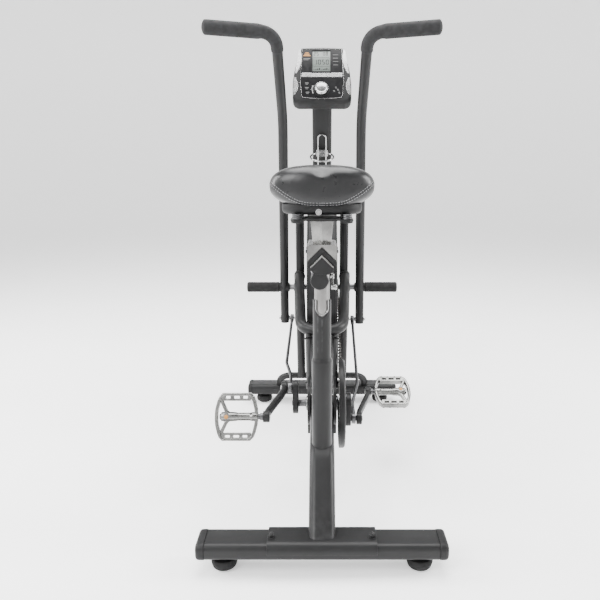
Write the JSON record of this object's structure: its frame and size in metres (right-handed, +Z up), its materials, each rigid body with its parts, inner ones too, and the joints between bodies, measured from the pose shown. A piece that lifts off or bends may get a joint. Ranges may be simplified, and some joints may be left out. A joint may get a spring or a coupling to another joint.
{
  "type": "air bike",
  "caption": "Fan-braked upright exercise bike with swinging handles, chain drive, sliding saddle, alloy pedals and a small console.",
  "frame": {"origin": "on the floor, midway between the rearmost and foremost points and on the centre plane", "axes": "+X to the rider's right, +Y forward, +Z up"},
  "size_m": [0.66, 1.2723, 1.3322],
  "materials": {
    "satin_black": "satin charcoal black powder coat with a fine texture",
    "cage_paint": "satin black painted wire and sheet",
    "black_plastic": "moulded black plastic, fine spark-eroded grain",
    "rubber": "matt black rubber",
    "foam": "dense black foam grip",
    "saddle_vinyl": "semi-gloss black synthetic leather with double stitching",
    "post_silver": "satin silver-grey",
    "alloy": "satin anodised extrusion",
    "pedal_alloy": "polished cast alloy",
    "chrome": "bright plated",
    "steel": "dark zinc-plated steel",
    "chain_steel": "oiled roller chain",
    "display": "grey-green liquid-crystal window"
  },
  "bodies": {
    "frame": {"rear_stabilizer": "satin_black", "front_stabilizer": "satin_black", "rear_cap_left": "black_plastic", "rear_cap_right": "black_plastic", "rear_foot_left": "rubber", "rear_foot_right": "rubber", "front_foot_left": "rubber", "front_foot_right": "rubber", "rear_bracket": "satin_black", "main_beam": "satin_black", "bottom_bracket": "satin_black", "bearing_cup_left": "chrome", "bearing_cup_right": "chrome", "seat_tube": "satin_black", "pillar_left": "satin_black", "pillar_right": "satin_black", "wishbone": "satin_black", "front_hoop": "satin_black", "top_tube": "satin_black", "lower_tube": "satin_black", "stay_left": "satin_black", "stay_right": "satin_black", "mast": "satin_black", "bottle_holder": "chrome", "console_housing": "black_plastic", "console_display": "display", "fan_axle": "steel", "foot_peg_left": "rubber", "foot_peg_right": "rubber", "cage_left": "cage_paint", "cage_right": "cage_paint", "cage_rim": "cage_paint", "chain": "chain_steel", "chain_guard": "cage_paint"},
    "crank": {"crank_axle": "steel", "chainring": "steel", "crank_lever_left": "satin_black", "crank_lever_right": "satin_black", "crank_arm_left": "satin_black", "crank_arm_right": "satin_black"},
    "pedal_left": {"pedal_left": "pedal_alloy"},
    "pedal_right": {"pedal_right": "pedal_alloy"},
    "rod_left": {"rod_left": "steel"},
    "rod_right": {"rod_right": "steel"},
    "fan": {"fan_wheel": "steel", "fan_sprocket": "steel"},
    "handle_left": {"handle_left": "satin_black", "grip_left": "foam"},
    "handle_right": {"handle_right": "satin_black", "grip_right": "foam"},
    "seat_post": {"seat_post": "post_silver", "seat_rail": "alloy", "rail_mount": "black_plastic"},
    "saddle": {"seat_carriage": "alloy", "carriage_jaw": "black_plastic", "saddle_base": "black_plastic", "saddle": "saddle_vinyl"},
    "rail_lever": {"rail_lever": "chrome"},
    "post_pin": {"post_pin": "black_plastic"},
    "console_knob": {"console_knob": "chrome"}
  },
  "joints": [
    {"name": "crank_spin", "type": "hinge", "parent": "frame", "child": "crank", "pos_m": [0, -0.222, 0.2685], "axis": [1, 0, 0], "continuous": true},
    {"name": "pedal_left_spin", "type": "hinge", "parent": "crank", "child": "pedal_left", "pos_m": [-0.226, -0.38915, 0.29948], "axis": [1, 0, 0], "continuous": true},
    {"name": "pedal_right_spin", "type": "hinge", "parent": "crank", "child": "pedal_right", "pos_m": [0.226, -0.05485, 0.23752], "axis": [1, 0, 0], "continuous": true},
    {"name": "rod_left_pivot", "type": "hinge", "parent": "crank", "child": "rod_left", "pos_m": [-0.093, -0.222, 0.3165], "axis": [1, 0, 0], "continuous": true},
    {"name": "rod_right_pivot", "type": "hinge", "parent": "crank", "child": "rod_right", "pos_m": [0.093, -0.222, 0.2205], "axis": [1, 0, 0], "continuous": true},
    {"name": "fan_spin", "type": "hinge", "parent": "frame", "child": "fan", "pos_m": [0, 0.306, 0.507], "axis": [1, 0, 0], "continuous": true},
    {"name": "handle_right_swing", "type": "hinge", "parent": "frame", "child": "handle_right", "pos_m": [0, 0.306, 0.507], "axis": [1, 0, 0], "range_deg": [-18, 20]},
    {"name": "handle_left_swing", "type": "hinge", "parent": "frame", "child": "handle_left", "pos_m": [0, 0.306, 0.507], "axis": [1, 0, 0], "range_deg": [-20, 18]},
    {"name": "post_height", "type": "slide", "parent": "frame", "child": "seat_post", "axis": [0, 0, 1], "range_m": [-0.025, 0.15]},
    {"name": "saddle_fore_aft", "type": "slide", "parent": "seat_post", "child": "saddle", "axis": [0, 1, 0], "range_m": [0, 0.1]},
    {"name": "rail_lever_turn", "type": "hinge", "parent": "seat_post", "child": "rail_lever", "pos_m": [0.0242, -0.42, 0.684], "axis": [1, 0, 0], "range_deg": [0, 60]},
    {"name": "post_pin_pull", "type": "slide", "parent": "frame", "child": "post_pin", "axis": [0, 1, 0], "range_m": [0, 0.012], "stiffness_N_per_m": 900},
    {"name": "console_knob_turn", "type": "hinge", "parent": "frame", "child": "console_knob", "pos_m": [-0.002, 0.06743, 1.17298], "axis": [0, -0.891, 0.454], "continuous": true}
  ],
  "couplings": [
    {"joint": "rod_left_pivot", "follows": "crank_spin", "ratio": -1},
    {"joint": "rod_right_pivot", "follows": "crank_spin", "ratio": -1},
    {"joint": "fan_spin", "follows": "crank_spin", "ratio": 3.2692},
    {"joint": "handle_left_swing", "follows": "handle_right_swing", "ratio": -1}
  ]
}
